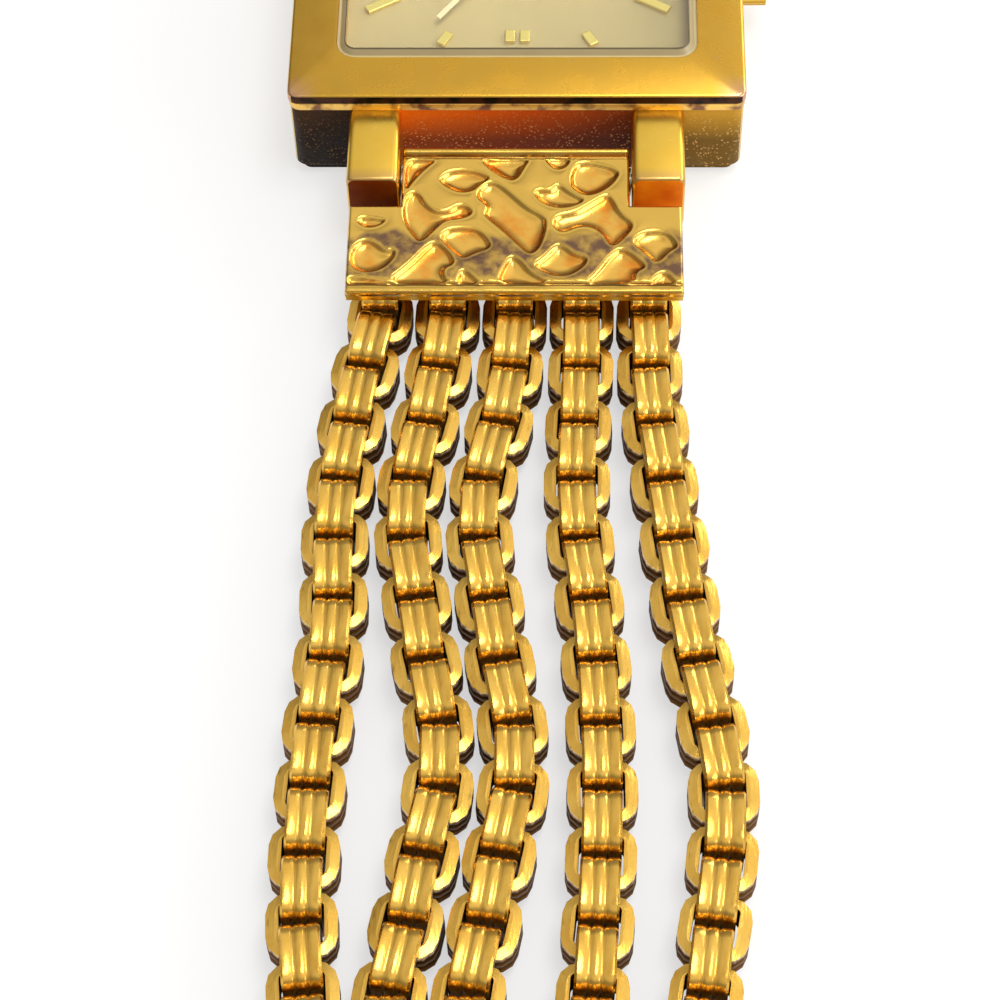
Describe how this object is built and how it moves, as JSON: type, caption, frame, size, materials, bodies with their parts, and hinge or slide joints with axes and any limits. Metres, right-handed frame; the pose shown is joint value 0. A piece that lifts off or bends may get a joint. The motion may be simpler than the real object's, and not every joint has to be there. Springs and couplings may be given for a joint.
{
  "type": "bracelet watch",
  "caption": "Small quartz bracelet watch: square sloped bezel, baton dial, scroll-relief end pieces and a bracelet of parallel box-chain strands with a fold-over clasp.",
  "frame": {"origin": "where the axis of the hands meets the outside of the case back, with the bracelet laid out flat", "axes": "+X towards 3 o'clock and the crown, +Y towards 12 o'clock along the bracelet, +Z out through the dial"},
  "size_m": [0.0253, 0.1732, 0.0069],
  "materials": {
    "gold_case": "gold-plated brass, satin with fine scratches",
    "gold_bezel": "gold-plated brass, polished",
    "gold_relief": "gold-plated casting, scroll relief",
    "gold_chain": "gold-plated stamped box chain",
    "gold_clasp": "gold-plated brass, brushed",
    "gold_hand": "polished gilt",
    "dial": "champagne satin",
    "crystal": "clear mineral glass",
    "gasket": "black nitrile",
    "steel": "stainless steel",
    "movement_plastic": "white acetal",
    "movement_brass": "nickel-free brass",
    "copper": "enamelled copper wire",
    "board": "glass-epoxy board"
  },
  "bodies": {
    "case": {"case_middle": "gold_case", "bezel": "gold_bezel", "crystal": "crystal", "crystal_gasket": "gasket", "dial": "dial", "hour_markers": "gold_hand", "case_back": "steel", "case_back_gasket": "gasket", "movement_holder": "movement_plastic", "main_plate": "movement_brass", "train_bridge": "movement_brass", "bridge_screws": "steel", "battery": "steel", "battery_clip": "steel", "coil": "copper", "stator": "steel", "circuit_board": "board", "quartz_crystal": "steel", "crown_tube": "steel", "spring_bar_6": "steel", "spring_bar_12": "steel"},
    "minute_train": {"minute_hand": "gold_hand", "centre_wheel": "movement_brass"},
    "hour_train": {"hour_hand": "gold_hand", "hour_wheel": "movement_brass"},
    "minute_wheel_body": {"minute_wheel": "movement_brass"},
    "reduction_wheel_body": {"reduction_wheel": "movement_brass"},
    "rotor_body": {"rotor": "steel"},
    "setting_lever_body": {"setting_lever": "steel"},
    "crown_body": {"crown": "gold_case", "crown_gasket": "gasket", "setting_stem": "steel"},
    "end_piece_6_body": {"end_piece_6": "gold_relief", "strand_pin_6": "gold_clasp"},
    "strand_row_1_6_body": {"strand_row_1_6": "gold_chain"},
    "strand_row_2_6_body": {"strand_row_2_6": "gold_chain"},
    "strand_row_3_6_body": {"strand_row_3_6": "gold_chain"},
    "strand_row_4_6_body": {"strand_row_4_6": "gold_chain"},
    "strand_row_5_6_body": {"strand_row_5_6": "gold_chain"},
    "strand_row_6_6_body": {"strand_row_6_6": "gold_chain"},
    "strand_row_7_6_body": {"strand_row_7_6": "gold_chain"},
    "strand_row_8_6_body": {"strand_row_8_6": "gold_chain"},
    "end_bar_6_body": {"end_bar_6": "gold_relief", "end_bar_pin_6": "gold_clasp"},
    "end_piece_12_body": {"end_piece_12": "gold_relief", "strand_pin_12": "gold_clasp"},
    "strand_row_1_12_body": {"strand_row_1_12": "gold_chain"},
    "strand_row_2_12_body": {"strand_row_2_12": "gold_chain"},
    "strand_row_3_12_body": {"strand_row_3_12": "gold_chain"},
    "strand_row_4_12_body": {"strand_row_4_12": "gold_chain"},
    "strand_row_5_12_body": {"strand_row_5_12": "gold_chain"},
    "strand_row_6_12_body": {"strand_row_6_12": "gold_chain"},
    "strand_row_7_12_body": {"strand_row_7_12": "gold_chain"},
    "strand_row_8_12_body": {"strand_row_8_12": "gold_chain"},
    "end_bar_12_body": {"end_bar_12": "gold_relief", "end_bar_pin_12": "gold_clasp", "catch_bar": "gold_clasp"},
    "clasp_frame_body": {"clasp_frame": "gold_clasp", "clasp_pins": "gold_clasp"},
    "clasp_cover_body": {"clasp_cover": "gold_clasp"}
  },
  "joints": [
    {"name": "minute_hand_turn", "type": "hinge", "parent": "case", "child": "minute_train", "pos_m": [0, 0, 0.0058], "axis": [0, 0, -1], "continuous": true},
    {"name": "hour_hand_turn", "type": "hinge", "parent": "case", "child": "hour_train", "pos_m": [0, 0, 0.0055], "axis": [0, 0, -1], "continuous": true},
    {"name": "minute_wheel_turn", "type": "hinge", "parent": "case", "child": "minute_wheel_body", "pos_m": [0.0025, 0, 0.0043], "axis": [0, 0, -1], "continuous": true},
    {"name": "reduction_wheel_turn", "type": "hinge", "parent": "case", "child": "reduction_wheel_body", "pos_m": [0.0014, -0.00242, 0.003], "axis": [0, 0, -1], "continuous": true},
    {"name": "rotor_turn", "type": "hinge", "parent": "case", "child": "rotor_body", "pos_m": [0.00366, -0.00325, 0.003], "axis": [0, 0, -1], "continuous": true},
    {"name": "crown_pull", "type": "slide", "parent": "case", "child": "setting_lever_body", "axis": [1, 0, 0], "range_m": [0, 0.0008]},
    {"name": "crown_turn", "type": "hinge", "parent": "setting_lever_body", "child": "crown_body", "pos_m": [0.0125, 0, 0.00319], "axis": [1, 0, 0], "continuous": true},
    {"name": "end_piece_6_swing", "type": "hinge", "parent": "case", "child": "end_piece_6_body", "pos_m": [0, -0.0139, 0.0029], "axis": [1, 0, 0], "range_deg": [-5, 38]},
    {"name": "strand_row_1_6_bend", "type": "hinge", "parent": "end_piece_6_body", "child": "strand_row_1_6_body", "pos_m": [0, -0.01985, 0.00162], "axis": [1, 0, 0], "range_deg": [-8, 22]},
    {"name": "strand_row_2_6_bend", "type": "hinge", "parent": "strand_row_1_6_body", "child": "strand_row_2_6_body", "pos_m": [0, -0.02638, 0.00162], "axis": [1, 0, 0], "range_deg": [-10, 10]},
    {"name": "strand_row_3_6_bend", "type": "hinge", "parent": "strand_row_2_6_body", "child": "strand_row_3_6_body", "pos_m": [0, -0.03316, 0.00162], "axis": [1, 0, 0], "range_deg": [-10, 10]},
    {"name": "strand_row_4_6_bend", "type": "hinge", "parent": "strand_row_3_6_body", "child": "strand_row_4_6_body", "pos_m": [0, -0.03994, 0.00162], "axis": [1, 0, 0], "range_deg": [-10, 10]},
    {"name": "strand_row_5_6_bend", "type": "hinge", "parent": "strand_row_4_6_body", "child": "strand_row_5_6_body", "pos_m": [0, -0.04672, 0.00162], "axis": [1, 0, 0], "range_deg": [-10, 10]},
    {"name": "strand_row_6_6_bend", "type": "hinge", "parent": "strand_row_5_6_body", "child": "strand_row_6_6_body", "pos_m": [0, -0.0535, 0.00162], "axis": [1, 0, 0], "range_deg": [-10, 10]},
    {"name": "strand_row_7_6_bend", "type": "hinge", "parent": "strand_row_6_6_body", "child": "strand_row_7_6_body", "pos_m": [0, -0.06028, 0.00162], "axis": [1, 0, 0], "range_deg": [-10, 10]},
    {"name": "strand_row_8_6_bend", "type": "hinge", "parent": "strand_row_7_6_body", "child": "strand_row_8_6_body", "pos_m": [0, -0.06706, 0.00162], "axis": [1, 0, 0], "range_deg": [-10, 10]},
    {"name": "end_bar_6_swing", "type": "hinge", "parent": "strand_row_8_6_body", "child": "end_bar_6_body", "pos_m": [0, -0.07529, 0.00162], "axis": [1, 0, 0], "range_deg": [-8, 22]},
    {"name": "end_piece_12_swing", "type": "hinge", "parent": "case", "child": "end_piece_12_body", "pos_m": [0, 0.0139, 0.0029], "axis": [-1, 0, 0], "range_deg": [-5, 38]},
    {"name": "strand_row_1_12_bend", "type": "hinge", "parent": "end_piece_12_body", "child": "strand_row_1_12_body", "pos_m": [0, 0.01985, 0.00162], "axis": [-1, 0, 0], "range_deg": [-8, 22]},
    {"name": "strand_row_2_12_bend", "type": "hinge", "parent": "strand_row_1_12_body", "child": "strand_row_2_12_body", "pos_m": [0, 0.02638, 0.00162], "axis": [-1, 0, 0], "range_deg": [-10, 10]},
    {"name": "strand_row_3_12_bend", "type": "hinge", "parent": "strand_row_2_12_body", "child": "strand_row_3_12_body", "pos_m": [0, 0.03316, 0.00162], "axis": [-1, 0, 0], "range_deg": [-10, 10]},
    {"name": "strand_row_4_12_bend", "type": "hinge", "parent": "strand_row_3_12_body", "child": "strand_row_4_12_body", "pos_m": [0, 0.03994, 0.00162], "axis": [-1, 0, 0], "range_deg": [-10, 10]},
    {"name": "strand_row_5_12_bend", "type": "hinge", "parent": "strand_row_4_12_body", "child": "strand_row_5_12_body", "pos_m": [0, 0.04672, 0.00162], "axis": [-1, 0, 0], "range_deg": [-10, 10]},
    {"name": "strand_row_6_12_bend", "type": "hinge", "parent": "strand_row_5_12_body", "child": "strand_row_6_12_body", "pos_m": [0, 0.0535, 0.00162], "axis": [-1, 0, 0], "range_deg": [-10, 10]},
    {"name": "strand_row_7_12_bend", "type": "hinge", "parent": "strand_row_6_12_body", "child": "strand_row_7_12_body", "pos_m": [0, 0.06028, 0.00162], "axis": [-1, 0, 0], "range_deg": [-10, 10]},
    {"name": "strand_row_8_12_bend", "type": "hinge", "parent": "strand_row_7_12_body", "child": "strand_row_8_12_body", "pos_m": [0, 0.06706, 0.00162], "axis": [-1, 0, 0], "range_deg": [-10, 10]},
    {"name": "end_bar_12_swing", "type": "hinge", "parent": "strand_row_8_12_body", "child": "end_bar_12_body", "pos_m": [0, 0.07529, 0.00162], "axis": [-1, 0, 0], "range_deg": [-8, 22]},
    {"name": "clasp_frame_swing", "type": "hinge", "parent": "end_bar_6_body", "child": "clasp_frame_body", "pos_m": [0, -0.07919, 0.00195], "axis": [1, 0, 0], "range_deg": [-10, 18]},
    {"name": "clasp_cover_lift", "type": "hinge", "parent": "clasp_frame_body", "child": "clasp_cover_body", "pos_m": [0, -0.09039, 0.0022], "axis": [1, 0, 0], "range_deg": [0, 110]}
  ],
  "couplings": [
    {"joint": "hour_hand_turn", "follows": "minute_hand_turn", "ratio": 0.083333},
    {"joint": "minute_wheel_turn", "follows": "minute_hand_turn", "ratio": -0.33333},
    {"joint": "reduction_wheel_turn", "follows": "minute_hand_turn", "ratio": -6},
    {"joint": "rotor_turn", "follows": "minute_hand_turn", "ratio": 30}
  ]
}
